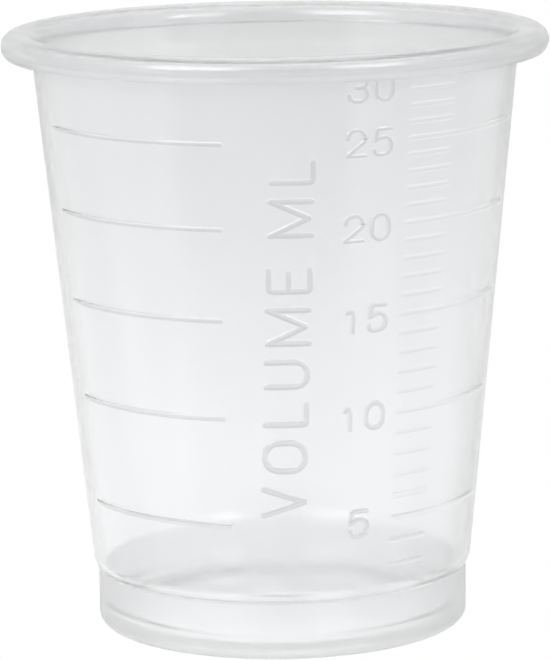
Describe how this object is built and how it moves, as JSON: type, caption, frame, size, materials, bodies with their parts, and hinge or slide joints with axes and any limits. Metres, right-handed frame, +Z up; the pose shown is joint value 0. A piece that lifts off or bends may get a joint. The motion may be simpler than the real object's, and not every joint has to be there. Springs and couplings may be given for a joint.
{
  "type": "graduated medicine cup",
  "caption": "Small clear plastic measuring cup with a conical wall, raised volume marks, an upright foot and a turned-down lip.",
  "frame": {"origin": "on the cup's axis, in the plane of the ring that it stands on", "axes": "+Z up along the cup's axis; -Y is the front, where the legend between the two scales is"},
  "size_m": [0.0396, 0.0394, 0.0436],
  "materials": {
    "clear_polypropylene": "gloss"
  },
  "bodies": {
    "root": {"cup": "clear_polypropylene"}
  },
  "joints": []
}
